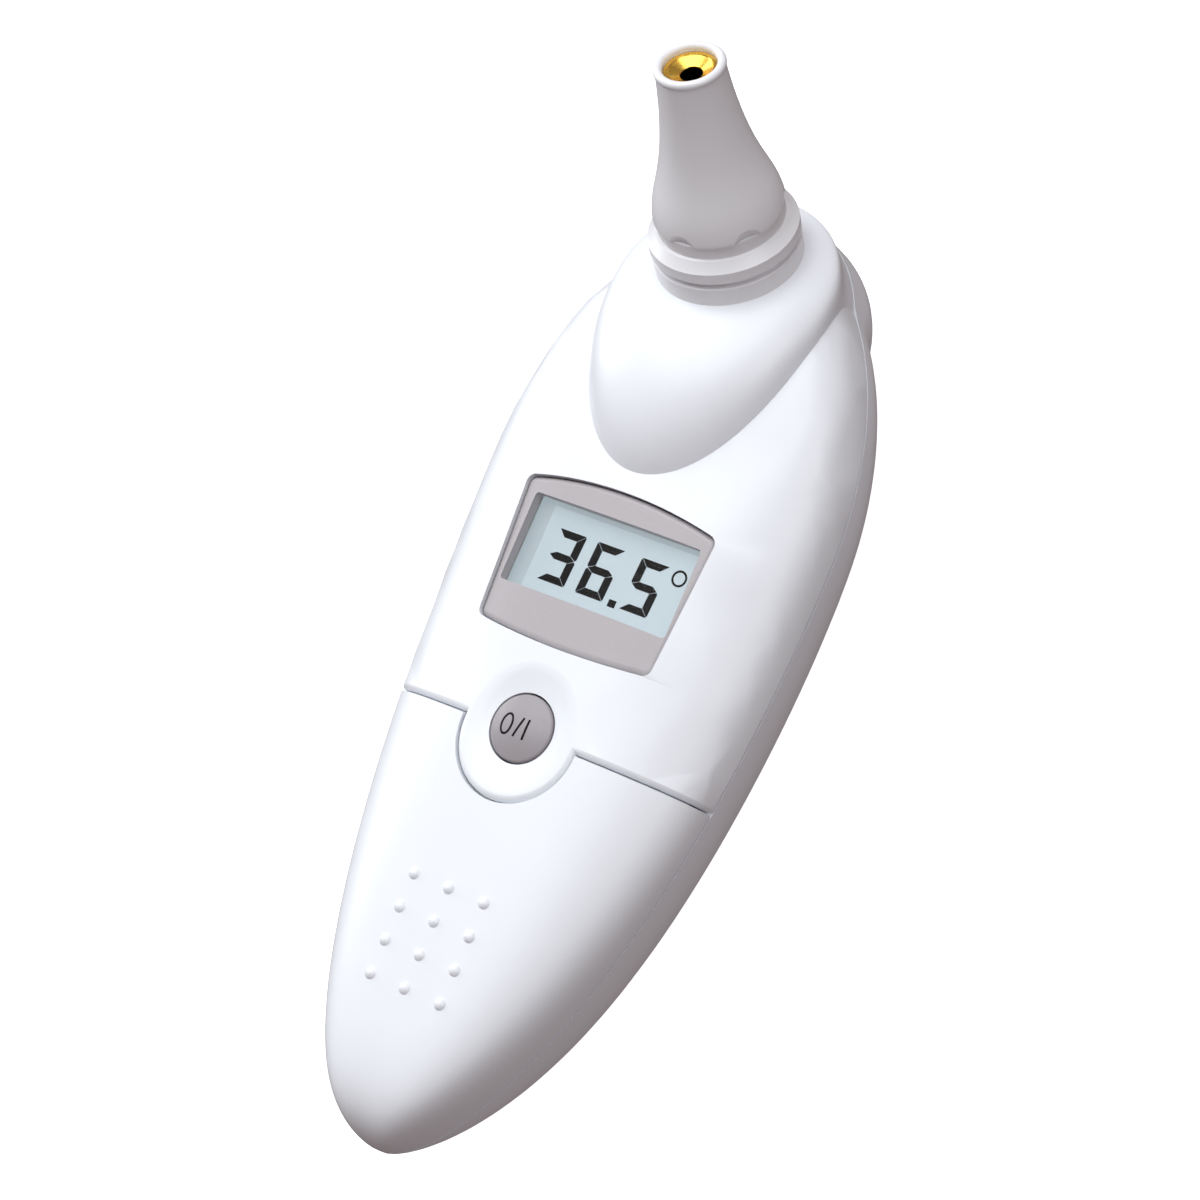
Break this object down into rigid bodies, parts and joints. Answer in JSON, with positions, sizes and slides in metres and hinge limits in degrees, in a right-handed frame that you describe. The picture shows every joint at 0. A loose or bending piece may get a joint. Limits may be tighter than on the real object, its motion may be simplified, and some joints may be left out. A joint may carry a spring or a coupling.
{
  "type": "digital ear thermometer",
  "caption": "Handheld infrared ear thermometer: white leaf-shaped shell, slanted flared probe, grey-framed display, round power button and slide-off battery cover.",
  "frame": {"origin": "middle of the overall box, on the surface that the thermometer rests on, lying on its back", "axes": "+Z out of the front face (display up), +Y along the body towards the head and probe, +X to the right seen from the front"},
  "size_m": [0.0476, 0.1294, 0.049],
  "materials": {
    "shell_white": "glossy white ABS",
    "probe_white": "glossy white probe plastic",
    "bezel_silver": "satin silver-grey",
    "button_grey": "satin warm grey",
    "display_window": "clear display window",
    "lcd_glass": "grey-green liquid crystal cell",
    "natural_plastic": "moulded natural plastic",
    "tray_grey": "moulded light grey plastic",
    "connector_rubber": "silicone connector strip",
    "board_green": "green solder mask",
    "chip_black": "moulded black epoxy",
    "buzzer_black": "moulded black case",
    "switch_black": "moulded black with steel lid",
    "cell_steel": "nickel-plated cell case",
    "contact_nickel": "nickel-plated spring strip",
    "screw_steel": "zinc-plated steel",
    "guide_gold": "polished gold plate",
    "block_metal": "machined metal block",
    "seal_rubber": "black rubber",
    "can_steel": "plated sensor can",
    "sensor_glass": "dark infrared filter",
    "pin_gold": "gold-plated leads",
    "flex_amber": "amber flat cable"
  },
  "bodies": {
    "handset": {"front_housing": "shell_white", "rear_housing": "shell_white", "display_bezel": "bezel_silver", "display_lens": "display_window", "lcd_panel": "lcd_glass", "lcd_holder": "natural_plastic", "zebra_strip": "connector_rubber", "circuit_board": "board_green", "processor_chip": "chip_black", "buzzer": "buzzer_black", "power_switch": "switch_black", "scan_switch": "switch_black", "battery_tray": "tray_grey", "coin_cell": "cell_steel", "contact_positive": "contact_nickel", "contact_negative": "contact_nickel", "collar_ring": "probe_white", "probe_flange": "probe_white", "probe_cone": "probe_white", "waveguide": "guide_gold", "sensor_holder": "block_metal", "seal_ring": "seal_rubber", "sensor_can": "can_steel", "sensor_window": "sensor_glass", "sensor_pins": "pin_gold", "sensor_board": "board_green", "sensor_clamp": "natural_plastic", "sensor_flex": "flex_amber", "back_screws": "screw_steel", "tray_screws": "screw_steel", "board_screws": "screw_steel"},
    "power_button": {"power_button": "button_grey"},
    "scan_button": {"scan_button": "button_grey"},
    "battery_cover": {"battery_cover": "shell_white"}
  },
  "joints": [
    {"name": "power_press", "type": "slide", "parent": "handset", "child": "power_button", "axis": [0, 0, -1], "range_m": [0, 0.0007], "stiffness_N_per_m": 1000},
    {"name": "scan_press", "type": "slide", "parent": "handset", "child": "scan_button", "axis": [0, 0, 1], "range_m": [0, 0.0007], "stiffness_N_per_m": 1000},
    {"name": "cover_slide", "type": "slide", "parent": "handset", "child": "battery_cover", "axis": [0, -1, 0], "range_m": [0, 0.055]}
  ]
}
